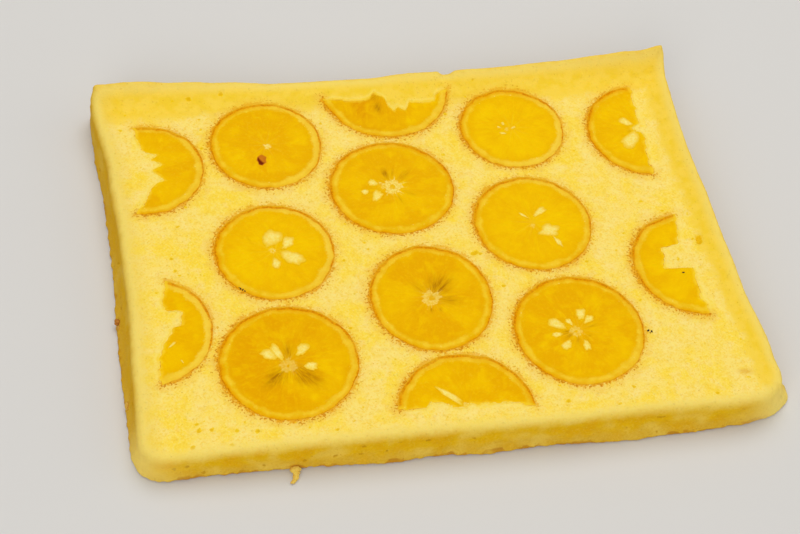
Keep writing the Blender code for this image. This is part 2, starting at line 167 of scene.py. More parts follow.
def sheet_point(u, v, level):
    """Point of the sheet's skin, from its place across (0 to 1), its depth (0 to 1) and its level."""
    across, along = LONG_EDGE * u - LONG_EDGE / 2, SHORT_EDGE * v - SHORT_EDGE / 2
    left, right = edge("left", along, level), edge("right", along, level)
    front, back = edge("front", across, level), edge("back", across, level)
    x = left + (right - left) * u
    y = front + (back - front) * v
    near = {"left": x - left, "right": right - x, "front": y - front, "back": back - y}
    for (sign_x, sign_y), (foot_radius, crest_radius) in CORNER.items():
        radius = foot_radius + (crest_radius - foot_radius) * level
        into_x = radius - near["right" if sign_x > 0 else "left"]
        into_y = radius - near["back" if sign_y > 0 else "front"]
        held = (into_x > 0) & (into_y > 0) & ((u > 0.5) == (sign_x > 0)) & ((v > 0.5) == (sign_y > 0))
        pull = np.maximum(into_x, into_y) / np.maximum(np.hypot(into_x, into_y), 1e-6) - 1
        x = np.where(held, x + sign_x * into_x * pull, x)
        y = np.where(held, y + sign_y * into_y * pull, y)
    return x, y, near


def torn_line(name):
    """The ragged edge of the sponge over a half slice, from the slice's centre, a point each 0.9 mm."""
    side, line = TORN_EDGE[name]
    points = []
    for (x0, y0), (x1, y1) in zip(line, line[1:]):
        steps = max(1, round(math.hypot(x1 - x0, y1 - y0) / 0.9))
        for step in range(steps):
            x, y = x0 + (x1 - x0) * step / steps, y0 + (y1 - y0) * step / steps
            spot = Vector((x, y, SLICES[name][0]))
            stray = 1.4 * noise.noise(spot / 3.8) + 0.3 * noise.noise(spot / 1.8)
            points.append((x + stray, y) if side[0] else (x, y + stray))
    return points + [line[-1]]


FAR = 60.0     # further than any distance that shows


def outside_slice(name, x, y):
    """Distances out from what shows of a slice, negative on it, from the rind that shows and, on the
    covered side, from the torn edge."""
    cx, cy, wide, deep = SLICES[name][:4]
    dx, dy = x - cx, y - cy
    out = (np.hypot(dx / wide, dy / deep) - 1) * (wide + deep) / 2
    torn = np.full_like(out, -FAR)
    if name in TORN_EDGE:
        side = TORN_EDGE[name][0]
        points = sorted((py, px) if side[0] else (px, py) for px, py in torn_line(name))
        along, across = (dy, dx) if side[0] else (dx, dy)
        torn = (across - np.interp(along, *np.array(points).T)) * (side[0] + side[1])
    rind = np.hypot(np.where(torn > 0, np.abs(out), np.maximum(out, 0)), np.maximum(torn, 0))
    return np.maximum(out, torn), rind, torn


def ripple(points, size, seed=0.0):
    """Smooth noise, -1 to 1, with bumps of the given size, at each of the points."""
    return np.array([noise.noise(Vector(p) / size + Vector((seed, seed, seed))) for p in points])


def spread(span, inner):
    """Places across the sheet, 0 to 1: close together over the shoulders, even between them."""
    close = np.array((0, 0.3, 0.7, 1.2, 1.8, 2.5, 3.3, 4.2, 5.2, 6.3, 7.5, 8.7)) / span
    even = np.linspace(close[-1], 1 - close[-1], inner + 1)[1:-1]
    return np.concatenate((close, even, 1 - close[::-1]))


def points_of(mesh):
    """A mesh's points, a row for each."""
    points = np.empty(len(mesh.vertices) * 3, np.float32)
    mesh.vertices.foreach_get("co", points)
    return points.reshape(-1, 3)


def shape(mesh, places):
    """Carries a mesh's points to places in millimetres."""
    mesh.vertices.foreach_set("co", (places * 0.001).astype(np.float32).ravel())
    mesh.update()


def rise(by):
    """Extrudes the selected edges upwards."""
    bpy.ops.mesh.extrude_edges_move(TRANSFORM_OT_translate={"value": (0, 0, by)})


def face_out():
    """Turns every face of the mesh outwards and leaves edit mode."""
    bpy.ops.mesh.select_all(action="SELECT")
    bpy.ops.mesh.normals_make_consistent(inside=False)
    bpy.ops.object.mode_set(mode="OBJECT")


ACROSS, DEEP = spread(LENGTH, 256), spread(DEPTH, 180)
WALL_RINGS = (0.96, 0.91, 0.855, 0.80, 0.74, 0.68, 0.62, 0.56, 0.50, 0.44, 0.38, 0.32, 0.26, 0.20,
              0.145, 0.095, 0.05, 0.018)
UNDER_COLUMNS, UNDER_ROWS = 112, 80
FOOT_ROUNDING = 0.9

bpy.ops.object.select_all(action="DESELECT")
bpy.ops.mesh.primitive_grid_add(x_subdivisions=len(ACROSS) - 1, y_subdivisions=len(DEEP) - 1, size=1,
                                location=(0, 0, 1))
sponge = bpy.context.object
sponge.name = sponge.data.name = "baked_sponge"
bpy.ops.object.transform_apply()
bpy.ops.object.mode_set(mode="EDIT")
bpy.ops.mesh.select_all(action="SELECT")
bpy.ops.mesh.region_to_loop()
height = 1.0
for ring in WALL_RINGS:
    rise(ring - height)
    height = ring
# The underside is a coarser grid, bridged to the foot of the walls.
bpy.ops.mesh.primitive_grid_add(x_subdivisions=UNDER_COLUMNS, y_subdivisions=UNDER_ROWS, size=1,
                                location=(0, 0, 0))
bpy.ops.mesh.select_mode(type="EDGE")
bpy.ops.mesh.select_all(action="DESELECT")
bpy.ops.object.mode_set(mode="OBJECT")
flat = points_of(sponge.data).astype(float)
at_foot = (np.abs(flat[:, :2]).max(1) > 0.4999) & (flat[:, 2] < height + 1e-4)
for item in sponge.data.edges:
    one, two = item.vertices
    item.select = bool(at_foot[one] and at_foot[two] and abs(flat[one][2] - flat[two][2]) < 1e-4)
bpy.ops.object.mode_set(mode="EDIT")
bpy.ops.mesh.bridge_edge_loops()
face_out()

# The flat pattern is carried to the sheet's form: its columns and rows to their places over the
# shoulders, then each point to the skin of the sheet.
is_top, is_under = flat[:, 2] > 0.999, flat[:, 2] < 0.0001
column = np.rint((flat[:, 0] + 0.5) * (len(ACROSS) - 1)).astype(int)
row = np.rint((flat[:, 1] + 0.5) * (len(DEEP) - 1)).astype(int)
u = np.where(is_under, flat[:, 0] + 0.5, ACROSS[column])
v = np.where(is_under, flat[:, 1] + 0.5, DEEP[row])
level = flat[:, 2]
crest_x, crest_y, near = sheet_point(u, v, 1.0)
nick_x, nick_wide, nick_deep = NICK
nick = nick_deep * np.exp(-(((crest_x - nick_x) / nick_wide) ** 4)) * ease(near["back"], 7, 0.5)
tall = top_height(crest_x, crest_y, near) - nick
tuck = np.where(is_under, 1.0, ease(level, 0.05, 0.0) * 0.6)
u_in = 0.5 + (u - 0.5) * (1 - tuck * 2 * FOOT_ROUNDING / LENGTH)
v_in = 0.5 + (v - 0.5) * (1 - tuck * 2 * FOOT_ROUNDING / DEPTH)
x, y = sheet_point(u_in, v_in, level)[:2]
z = np.where(is_under, 0.0, tall * level)
place = np.stack((x, y, z), 1)

mesh = sponge.data
shape(mesh, place)
outward = np.empty(len(place) * 3, np.float32)
mesh.vertices.foreach_get("normal", outward)
outward = outward.reshape(-1, 3)

# Distances from the nearest slice and its rind, and how far round to its near left side a point lies.
gap, rind = np.full(len(place), FAR), np.full(len(place), FAR)
near_side = np.zeros(len(place))
for name, (cx, cy, *_) in SLICES.items():
    out, from_rind = outside_slice(name, x, y)[:2]
    toward = -(x - cx + y - cy) / np.maximum(1.414 * np.hypot(x - cx, y - cy), 1e-6)
    near_side = np.where(from_rind < rind, toward, near_side)
    gap, rind = np.minimum(gap, out), np.minimum(rind, from_rind)
gap, rind = np.where(is_top, gap, FAR), np.where(is_top, rind, FAR)
torn = ease(rind - gap, 0.6, 2.4) * ease(gap, 3.6, 0.6)
# Distance in from the crest, measured over the shoulder; down the walls it runs on below zero, to -20
# at the foot. The back and right crests are rounder and stay pale, so there it starts a little higher.
over = [np.where(near[side] < radius, radius * np.arccos(np.clip(1 - near[side] / radius, 0, 1)),
                 near[side] + radius * (math.pi / 2 - 1)) for side, radius in SHOULDER.items()]
edge_in = np.where(is_top, np.minimum.reduce(over), -20 * (1 - level))
behind = ease(np.minimum(near["left"], near["front"]) - np.minimum(near["back"], near["right"]), -5, 5)
edge_in = np.where(is_under, -40, edge_in + 1.7 * behind * np.clip(level * 2 - 1, 0, 1))

# The crumb's relief: soft swells, then bubbles, and small pits where bubbles have burst. It fades
# out beside the slices, and the sponge runs in under each of them. The torn edges are frothy lips.
top_relief = 0.20 * ripple(place, 13) + 0.15 * ripple(place, 5.2, 3) + 0.11 * ripple(place, 2.3, 7)
top_relief = top_relief * ease(gap, 0.4, 4.0) + torn * (0.16 + 0.35 * ripple(place, 2.6, 29))
side_relief = (0.60 * ripple(place * (0.6, 0.6, 1), 9, 11) + 0.30 * ripple(place, 3.6, 13)
               + 0.20 * ripple(place, 1.8, 17)) * ease(level, 0.0, 0.10)
side_relief = side_relief + 0.9 * np.clip(ripple(place, 3.0, 19), -0.3, 1) * ease(level, 0.26, 0.06)
on_top = ease(edge_in, -5.0, 5.0)
relief = np.where(is_under, 0.0, top_relief * on_top + side_relief * (1 - on_top))
relief = relief + 0.30 * ripple(place, 2.6, 31) * np.exp(-((edge_in / 3.0) ** 2)) * behind
# Pits are kept as the distance in from their outlines, for a crisp edge. Each is (x, y, radius,
# depth): first a scattering of small ones, then those that stand out.
NO_PIT = -3.0
pit = np.full(len(place), NO_PIT)
draw = random.Random(7)
PITS = [(draw.uniform(-158, 156), draw.uniform(-113, 112), draw.uniform(0.6, 1.15),
         draw.uniform(0.2, 0.5)) for _ in range(130)]
PITS += [
    (146.4, -11.6, 2.0, 2.0), (145.9, -14.2, 1.9, 1.8), (121, -6, 1.2, 0.8), (22.2, -11.7, 1.9, 0.7),
    (25.4, -12.2, 1.1, 0.5), (-104.5, -108.6, 1.5, 0.8), (-114.0, -107.0, 1.3, 0.4),
    (-135.7, -0.8, 1.3, 0.5), (-137.5, -5.3, 1.0, 0.4), (-134.7, -8.9, 1.1, 0.4),
    (-144.8, -21.7, 1.0, 0.4), (-133.2, -100.8, 1.4, 0.6), (-132.7, -104.9, 1.3, 0.5),
    (-136.6, -113.7, 1.6, 0.6), (-159.0, -90.0, 1.3, 0.5), (144.8, 5.5, 1.2, 0.5),
    (120.9, 16.1, 1.1, 0.5), (131.2, 8.7, 1.0, 0.4), (81.0, -22.0, 1.1, 0.5), (131.1, -24.7, 1.2, 0.6),
    (104.0, -49.8, 1.1, 0.5), (-130.2, 19.9, 1.0, 0.4), (-124.6, 32.8, 1.0, 0.4),
    (-105.7, -105.2, 1.1, 0.6), (-109.8, -102.6, 1.0, 0.6), (-65.8, -111.9, 1.3, 0.7),
    (-131.6, -104.3, 1.3, 0.7), (-126.2, -105.0, 1.4, 0.5), (-57.0, -108.6, 1.1, 0.6),
    (-25.3, -107.7, 1.0, 0.6), (-117.6, -114.3, 1.4, 0.7), (87.1, -102.6, 1.2, 0.7),
    (77.5, -111.4, 1.2, 0.7), (129.7, -110.1, 1.2, 0.6), (52.0, -107.7, 1.5, 0.5),
    (-115.7, 108.0, 1.7, 0.8), (-97.9, 109.9, 1.9, 0.8), (-154.4, 90.5, 1.4, 0.6),
    (-124.8, 107.1, 1.2, 0.6), (-111.1, 86.6, 1.1, 0.5), (23.1, 33.5, 1.2, 0.7),
    (33.7, -34.2, 1.2, 0.5), (3.4, 119.2, 2.0, 0.8),
]
for px, py, reach, deep in PITS:
    if min(float(outside_slice(name, px, py)[0]) for name in SLICES) < reach + 0.4:
        continue
    inside = np.where(is_top, reach - np.hypot(x - px, 1.2 * (y - py)), NO_PIT)
    relief -= deep * ease(inside, -0.4, 0.8)
    pit = np.maximum(pit, inside)
for _ in range(60):     # and some in the walls
    side = draw.choice(("front", "front", "left", "back", "right"))
    along, high = draw.uniform(-155, 160), draw.uniform(2.5, 17)
    reach, deep = draw.uniform(0.7, 1.3), draw.uniform(0.3, 0.9)
    lengthwise = side in ("front", "back")
    off = x - along if lengthwise else y - along * 0.7
    inward = edge(side, x if lengthwise else y, 0.5) - (y if lengthwise else x)
    inside = np.where(is_top | is_under | (np.abs(inward) > 5), NO_PIT, reach - np.hypot(off, z - high))
    relief -= deep * ease(inside, -0.4, 0.8)
    pit = np.maximum(pit, inside)
place = place + outward * relief[:, None]
place[:, 2] -= np.where(is_top, 1.3 * ease(gap, -0.7, -2.4), 0)
# The underside lies flat at its foot and is faintly wrinkled within.
from_foot = np.minimum(np.minimum(u, 1 - u) * LENGTH, np.minimum(v, 1 - v) * DEPTH)
wrinkle = 0.35 * np.clip(ripple(place * (0.35, 1, 1), 7, 23), 0, 1) * ease(from_foot, 1, 8)
place[:, 2] = np.where(is_under, wrinkle, np.maximum(place[:, 2], 0.02))
lowest, highest = (np.array(corner) * 1000 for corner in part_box("sponge_sheet"))
shape(mesh, np.clip(place + SETTLED, lowest, highest))
mesh.shade_smooth()


def keep(mesh, name, values):
    """Keeps a number at each point of a mesh, for its material."""
    field = mesh.attributes.new(name, "FLOAT", "POINT")
    field.data.foreach_set("value", np.asarray(values, np.float32))


for field, values in {
        "gap": np.clip(gap, -5, 40), "rind": np.clip(rind, 0, 40), "torn": torn, "near_side": near_side,
        # The last entry on the next line is painted shade along the left side, over the top and down
        # the wall.
        "edge_in": edge_in, "pit": pit, "left_shade": ease(near["left"], 15, 2),
        # The deeper yellow band along the back rim and, narrower, along the right one.
        "band": np.maximum((28 - near["back"]) / 28, (17 - near["right"]) / 17).clip(0, 1) * is_top,
        # Painted light on the walls at the two front corners, most on the right: they read pale and
        # smooth.
        "corner": (np.exp(-(((np.abs(x - 2) - 165) / 16) ** 2) - ((y + 112) / 15) ** 2)
                   * np.where(x > 0, 1, 0.7)),
        # A faint scorched smudge near the front right corner.
        "smudge": (np.exp(-(((x - 147.6 + (y + 98.7) * 0.5) / 3.4) ** 2) - ((y + 98.7) / 1.5) ** 2)
                   * is_top),
}.items():
    keep(mesh, field, values)


def paint(red, green, blue):
    """A colour as Blender holds it, from its usual 0 to 255 values."""
    return tuple((c / 255 / 12.92) if c < 11 else ((c / 255 + 0.055) / 1.055) ** 2.4
                 for c in (red, green, blue)) + (1.0,)


class Finish:
    """A new material and short ways to lay down its tones, grains and spots."""

    def __init__(self, name, **constants):
        self.material = bpy.data.materials.new(name)
        self.material.use_nodes = True
        self.nodes = self.material.node_tree.nodes
        self.links = self.material.node_tree.links
        self.skin = self.nodes["Principled BSDF"]
        self.place = self.add("ShaderNodeTexCoord").outputs["Object"]
        for socket, value in constants.items():
            self.skin.inputs[socket.replace("_", " ")].default_value = value

    def add(self, kind, inputs=(), **settings):
        item = self.nodes.new(kind)
        for key, value in settings.items():
            setattr(item, key, value)
        for key, value in dict(inputs).items():
            value = self.share(value)
            if isinstance(value, bpy.types.NodeSocket):
                self.links.new(value, item.inputs[key])
            else:
                item.inputs[key].default_value = value
        return item

    def share(self, value):
        """A number that varies over the piece: the name of one that its mesh keeps, (value, start,
        end) for a fade of another from 0 to 1, or with (..., low, high) from low to high."""
        if isinstance(value, str):
            return self.kept(value)
        return self.fade(*value) if isinstance(value, tuple) else value

    def kept(self, name):
        return self.add("ShaderNodeAttribute", attribute_name=name).outputs["Fac"]

    def sum_of(self, first, second, how="ADD"):
        return self.add("ShaderNodeMath", {0: first, 1: second}, operation=how).outputs[0]

    def times(self, first, second):
        return self.sum_of(first, second, "MULTIPLY")

    def fade(self, value, start, end, low=0.0, high=1.0):
        return self.add("ShaderNodeMapRange", {"Value": value, "From Min": start, "From Max": end,
                                               "To Min": low, "To Max": high},
                        interpolation_type="SMOOTHSTEP").outputs["Result"]

    def stray(self, value, grain, reach):
        """A distance made uneven by a grain, by up to reach either way."""
        return self.sum_of(value, self.fade(grain, 0.3, 0.7, -reach, reach))

    def grain(self, size, detail=2.0, place=None, rough=0.5):
        return self.add("ShaderNodeTexNoise", {"Vector": place or self.place, "Scale": 1000 / size,
                                               "Detail": detail, "Roughness": rough}).outputs["Fac"]

    def spots(self, size, radius, share, place=None):
        """Round spots in a scattering: their spacing and radius in mm, and how many are filled."""
        cells = self.add("ShaderNodeTexVoronoi", {"Vector": place or self.place, "Scale": 1000 / size})
        parts = self.add("ShaderNodeSeparateColor", {"Color": cells.outputs["Color"]})
        reach = self.fade(parts.outputs["Green"], 0, 1, 0.5, 1.0)
        reach = self.times(reach, radius / size)
        inside = self.sum_of(reach, cells.outputs["Distance"], "SUBTRACT")
        spot = self.fade(inside, 0, 0.35 * radius / size)
        filled = self.sum_of(share, parts.outputs["Red"], "GREATER_THAN")
        return self.times(spot, filled)

    def blend(self, share, first, second):
        item = self.nodes.new("ShaderNodeMix")
        item.data_type = "RGBA"
        item.clamp_factor = True
        self.links.new(self.share(share), item.inputs[0])
        for socket, tone in ((item.inputs[6], first), (item.inputs[7], second)):
            if isinstance(tone, tuple):
                socket.default_value = paint(*tone)
            else:
                self.links.new(tone, socket)
        return item.outputs[2]

    def lay(self, ground, *layers):
        """Lays tones over a ground in turn, each as (where it goes, how strong it is, tone)."""
        for share, strength, tone in layers:
            ground = self.blend(self.times(share, strength), ground, tone)
        return ground

    def done(self, colour, roughness, height, depth):
        """Ends the finish: its colour, its roughness and its fine relief, depth metres deep."""
        self.links.new(colour, self.skin.inputs["Base Color"])
        self.links.new(self.share(roughness), self.skin.inputs["Roughness"])
        bump = self.add("ShaderNodeBump", {"Height": height, "Distance": depth, "Strength": 1.0})
        self.links.new(bump.outputs["Normal"], self.skin.inputs["Normal"])
        return self.material


crumb = Finish("baked_sponge", Specular_IOR_Level=0.12, Specular_Tint=(1.0, 0.9, 0.5, 1.0),
               Subsurface_Weight=0.06, Subsurface_Scale=0.004, Subsurface_Radius=(1.0, 0.6, 0.25))
rind_at, side_at, edge_at = crumb.kept("rind"), crumb.kept("near_side"), crumb.kept("edge_in")
fine, small = crumb.grain(1.1, 2, rough=0.6), crumb.grain(3.0, 1)
middling, broad = crumb.grain(6, 2), crumb.grain(17, 2)
top = crumb.lay(crumb.blend((broad, 0.40, 0.64), (250, 221, 112), (251, 217, 72)),
                ((middling, 0.50, 0.74), 0.7, (252, 214, 40)),
                ((middling, 0.47, 0.34), 0.6, (251, 224, 134)),
                ((fine, 0.50, 0.68), 0.42, (252, 231, 136)),
                ((fine, 0.48, 0.34), 0.6, (244, 200, 54)),
                ((small, 0.46, 0.30), 0.4, (245, 204, 48)),
                ((small, 0.54, 0.70), 0.3, (252, 228, 128)))
banded = crumb.fade(crumb.stray("band", middling, 0.09), 0.02, 0.42)
top = crumb.blend(banded, top,
                  crumb.blend((middling, 0.35, 0.65), (243, 204, 50), (247, 210, 72)))
# A tan halo where the juice has soaked into the crumb, burnt where it meets the rind and stippled
# with browned bubbles, densest along the near left side.
soaked = crumb.times((crumb.stray(rind_at, middling, 1.3), 7.0, 0.8),
                     (broad, 0.3, 0.6, 0.45, 0.75))
top = crumb.lay(top, (soaked, (side_at, -0.7, 0.7, 0.45, 1.0), (240, 193, 70)))
burnt = crumb.stray(crumb.sum_of(rind_at, (fine, 0.32, 0.68, -0.7, 0.7)), small, 0.7)
top = crumb.lay(top, ((burnt, 1.8, 0.5), (side_at, -0.7, 0.7, 0.5, 0.85),
                      (230, 158, 0)))
browned = crumb.times((rind_at, 6.0, 0.0), (side_at, -0.8, 0.6, 0.4, 1.0))
stipple = crumb.sum_of(crumb.grain(1.2, 1), crumb.times(browned, 0.13))
stipple = crumb.times((stipple, 0.67, 0.72), (browned, 0.02, 0.2))
brown = crumb.blend((browned, 0.25, 0.8), (224, 168, 28), (206, 132, 4))
# Bubbles and pits over the whole top, painted shade in the pits, the smudge, and the torn edges' frothy
# lips.
in_pit = crumb.stray("pit", crumb.grain(2.2, 1), 0.4)
# Painted shade in the pits, deeper yellow towards their middle.
pit_shade = crumb.blend((in_pit, 0.0, 0.8), (246, 206, 16), (230, 182, 0))
# The torn lips are pale froth, with painted shade where they meet the slice.
froth_and_contact_shade = crumb.blend(("gap", 0.2, 1.6), (248, 208, 56), (252, 226, 112))
top = crumb.lay(top, (stipple, 0.85, brown),
                (crumb.spots(7.0, 0.7, 0.4), 0.75, (232, 192, 26)),
                (crumb.spots(3.0, 0.36, 0.24), 0.8, (218, 170, 40)),
                ((in_pit, -0.15, 0.2), 0.9, pit_shade),
                ("smudge", 0.75, (222, 166, 52)),
                ("torn", 0.6, froth_and_contact_shade))
# Painted shade on the left, a painted highlight inside the crest, and fine specks on the rims.
wavy = crumb.stray(edge_at, middling, 0.6)
on_rims = crumb.fade("band", 0.05, 0.5, 0.0, 0.65)
top = crumb.lay(top, ("left_shade", 0.6, (233, 200, 86)),
                # Painted highlight: a pale sheen along the shoulder just inside the crest.
                ((wavy, 11.0, 5.4), 0.8, (243, 216, 108)),
                (crumb.spots(2.5, 0.38, 0.42), on_rims, (212, 164, 20)))
# The walls are golden in patches, then duller down to a browned foot. The underside is baked skin.
down = crumb.stray(edge_at, middling, 2.5)
lumps = crumb.grain(13, 1)
golden = crumb.times((lumps, 0.48, 0.66), (down, -17, -7, 0.35, 1.0))
foot = crumb.times((down, -16.6, -18.6), (broad, 0.40, 0.56))
wall = crumb.lay(crumb.blend((down, -4.5, -15), (233, 184, 6), (227, 182, 52)),
                 ((lumps, 0.50, 0.30), 0.7, (240, 204, 84)),
                 (golden, 0.9, (230, 174, 0)),
                 ((fine, 0.50, 0.72), 0.3, (241, 208, 88)),
                 ((fine, 0.48, 0.30), 0.4, (216, 164, 24)),
                 (crumb.spots(3.4, 0.45, 0.3), 0.6, (206, 148, 24)),
                 # Painted shade in the wall's pits.
                 ((in_pit, -0.1, 0.4), 0.75, (200, 146, 16)),
                 (foot, 0.8, (198, 134, 32)),
                 # Painted shade on the left wall.
                 ("left_shade", 0.5, (206, 156, 16)),
                 # Painted light at the two front corners.
                 ("corner", 0.95, (255, 228, 120)))
under = crumb.lay(crumb.blend((broad, 0.35, 0.65), (206, 146, 52), (222, 170, 70)),
                  ((fine, 0.45, 0.7), 0.6, (186, 120, 36)))
colour = crumb.blend((wavy, 6.5, -0.6), top, wall)
colour = crumb.blend((edge_at, -20.5, -27), colour, under)
bubbles = crumb.sum_of(crumb.grain(1.1, 4, rough=0.6), crumb.times(crumb.spots(1.7, 0.45, 0.5), -0.6))
crumb.done(colour, (fine, 0.3, 0.7, 0.72, 0.9), bubbles, 0.0003)
mesh.materials.append(crumb.material)
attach(sponge, "root")
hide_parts("sponge_sheet")

# ---- The orange slices ------------------------------
# Thin round slices of orange, laid in the tin before the batter and baked in flush with the top.
# Each has a thin browned zest line, a pale pith ring, moist flesh in ten segments, and a pale core.
RINGS, STEPS = 56, 200
PITH_BAND, CORE_BAND = 0.80, 0.16     # where the flat pattern's rings turn from pith to flesh to core
ZEST, PITH, CORE = 0.7, 3.0, 2.2      # width of the zest line and of the pith, and the core's radius
SEGMENTS = 10
SLICE_THICKNESS = 2.6
BLOCK = 40     # how far up and down the block that cuts the covered halves reaches

bpy.ops.object.select_all(action="DESELECT")
bpy.ops.mesh.primitive_circle_add(vertices=STEPS, radius=1, fill_type="NGON", location=(0, 0, -1))
pattern = bpy.context.object
bpy.ops.object.transform_apply()
bpy.ops.object.mode_set(mode="EDIT")
bpy.ops.mesh.select_all(action="SELECT")
bpy.ops.mesh.region_to_loop()
rise(0.6)
rise(0.4)
for ring in range(1, RINGS):
    rise(0)
    shrink = (RINGS - ring) / (RINGS - ring + 1)
    bpy.ops.transform.resize(value=(shrink, shrink, 1), center_override=(0, 0, 0))
bpy.ops.mesh.edge_face_add()
bpy.ops.mesh.poke()
face_out()

# name: (turn of the first membrane, side from which the pith is pale, how pale)
WEDGES = {
    "slice_1": (0.2, 0.1, 0.8), "slice_2": (0.45, 2.2, 0.2), "slice_3": (0.1, -0.5, 1.0),
    "slice_4": (0.6, 0.9, 0.5), "slice_5": (0.3, 0.4, 0.9), "slice_6": (0.5, 2.4, 0.3),
    "slice_7": (0.15, 0.0, 0.3), "slice_8": (0.35, -0.6, 0.3), "half_slice_1": (0.5, 0.2, 0.5),
    "half_slice_2": (0.3, -0.4, 0.5), "half_slice_3": (0.2, -0.4, 0.4), "half_slice_4": (0.4, 2.6, 0.3),
    "half_slice_5": (0.1, 0.0, 1.0), "half_slice_6": (0.3, 1.5, 0.3),
}
# Pale cores: (x, y from the centre, outer radius, radius of the hollow in it, length of its rays, how
# bright it is)
CORES = {
    "slice_1": (0.8, -1.2, 2.2, 0.0, 0.0, 0.95), "slice_2": (0.3, 0.4, 5.6, 1.7, 5.0, 0.85),
    "slice_3": (-3.1, -0.7, 1.3, 0.0, 1.0, 0.4), "slice_4": (-0.4, -2.3, 1.4, 0.0, 1.5, 0.45),
    "slice_5": (-1.0, 0.4, 1.8, 0.6, 1.0, 0.6), "slice_6": (0.0, -0.5, 5.3, 1.9, 4.4, 0.6),
    "slice_7": (-0.8, -2.5, 4.8, 0.9, 4.5, 0.38), "slice_8": (-2.0, -1.2, 3.6, 1.0, 3.4, 0.5),
    "half_slice_1": (0.5, 0.0, 1.6, 0.0, 0.5, 0.7), "half_slice_3": (-3.8, 0.5, 1.8, 0.0, 0.8, 0.8),
    "half_slice_6": (-0.4, 4.0, 1.8, 0.0, 0.5, 0.7),
}
# Browned hollows that fan out beside the core: (x, y from the centre, length, width, turn, how deep)
BRUISES = {
    "slice_2": (
        (-2.1, 9.6, 6, 3.4, 100, 1.0), (2.0, 10.4, 5, 1.4, 75, 0.6), (8.0, 8.2, 8, 3.6, 45, 0.45),
        (9, -5, 7, 2.4, -35, 0.4), (3.3, -8.6, 7, 2.4, -70, 0.45)),
    "slice_6": (
        (6.6, 6.4, 13, 8.5, 48, 1.0), (2.4, 8.0, 11, 6.5, 78, 0.8), (8.6, -2.6, 12, 5.5, -14, 0.65),
        (-5.6, 6.4, 8, 5, 130, 0.4), (-1.2, -8.2, 3.4, 1.5, 90, 0.8), (3.5, -8.0, 3, 1.5, 90, 0.8)),
    "slice_7": (
        (-8.0, -8.4, 13, 7, 218, 0.95), (8.0, -9.6, 16, 8, -40, 0.95), (0.2, 5.8, 9, 5, 88, 0.75),
        (-3.6, 4.2, 6, 3.0, 120, 0.6), (4.6, -11.2, 10, 4.4, -60, 0.8),
        (-4.4, -10.0, 9, 4, 240, 0.6)),
    "slice_8": (
        (-7.1, -1.1, 5.4, 2.0, 10, 0.9), (-6.0, -3.4, 5, 1.8, 30, 0.7),
        (4.4, -4.4, 2.4, 1.6, 0, 0.5), (7.4, 1.4, 6, 2.0, 10, 0.4), (-2.0, -6.4, 5, 1.8, 80, 0.6),
        (3.0, -7.6, 4, 1.6, -70, 0.5)),
    "slice_5": ((-12.2, 8.7, 5, 1.4, -60, 0.3),),
    "half_slice_2": ((-5.6, -13.6, 7.0, 3.6, 84, 0.95), (-6.6, -5.8, 7, 4.4, 0, 0.6)),
    "half_slice_3": ((-8.9, -0.6, 3.0, 1.4, 30, 0.4),),
}
# How much yellower the flesh gets from the middle to the right side of a slice.
TONE_TURN = {"half_slice_2": 0.83, "half_slice_6": -0.18, "slice_7": 0.07}
# The one open hole, left by a pip: (x, y from the centre, half its length, half its width, turn).
# Its colour is painted shade: darkest deep in the hole and on its front left side.
SEED_HOLE = (-3.5, -10.3, 3.5, 2.6, 76)


def new_object(name, data):
    """Stands a mesh, a lamp or a camera in the scene."""
    item = bpy.data.objects.new(name, data)
    bpy.context.scene.collection.objects.link(item)
    return item


def turned(x, y, degrees):
    """Points turned anticlockwise about the origin."""
    c, s = math.cos(math.radians(degrees)), math.sin(math.radians(degrees))
    return x * c - y * s, x * s + y * c


def round_circle(turn, seed):
    """Points of a circle, for noise that closes on itself."""
    return np.stack((np.cos(turn), np.sin(turn), np.full_like(turn, seed)), 1)


def slice_field(name, x, y):
    """Where points lie on a slice: their radius, turn and segment, and there the slice's own radius
    and the flesh's."""
    cx, cy, wide, deep = SLICES[name][:4]
    dx, dy = x - cx, y - cy
    turn = np.arctan2(dy / deep, dx / wide)
    around = round_circle(turn, len(name) * 1.7 + cx * 0.1)
    uneven = 0.012 * ripple(around, 0.55) + 0.016 * ripple(around, 0.27, 12)
    uneven = uneven + 0.011 * ripple(around, 0.13, 14)
    rim = np.hypot(wide * np.cos(turn), deep * np.sin(turn)) * (1 + uneven)
    wedge = (turn / (2 * math.pi) + WEDGES[name][0]) * SEGMENTS + 0.22 * ripple(around, 0.4, 5)
    notch = (0.5 + 0.5 * np.cos(2 * math.pi * wedge)) ** 5
    band = PITH * (1 + 0.28 * ripple(around, 0.7, 9) + 0.12 * ripple(around, 0.2, 4)) + 0.9 * notch
    return np.hypot(dx, dy), turn, wedge, rim, rim - ZEST - band


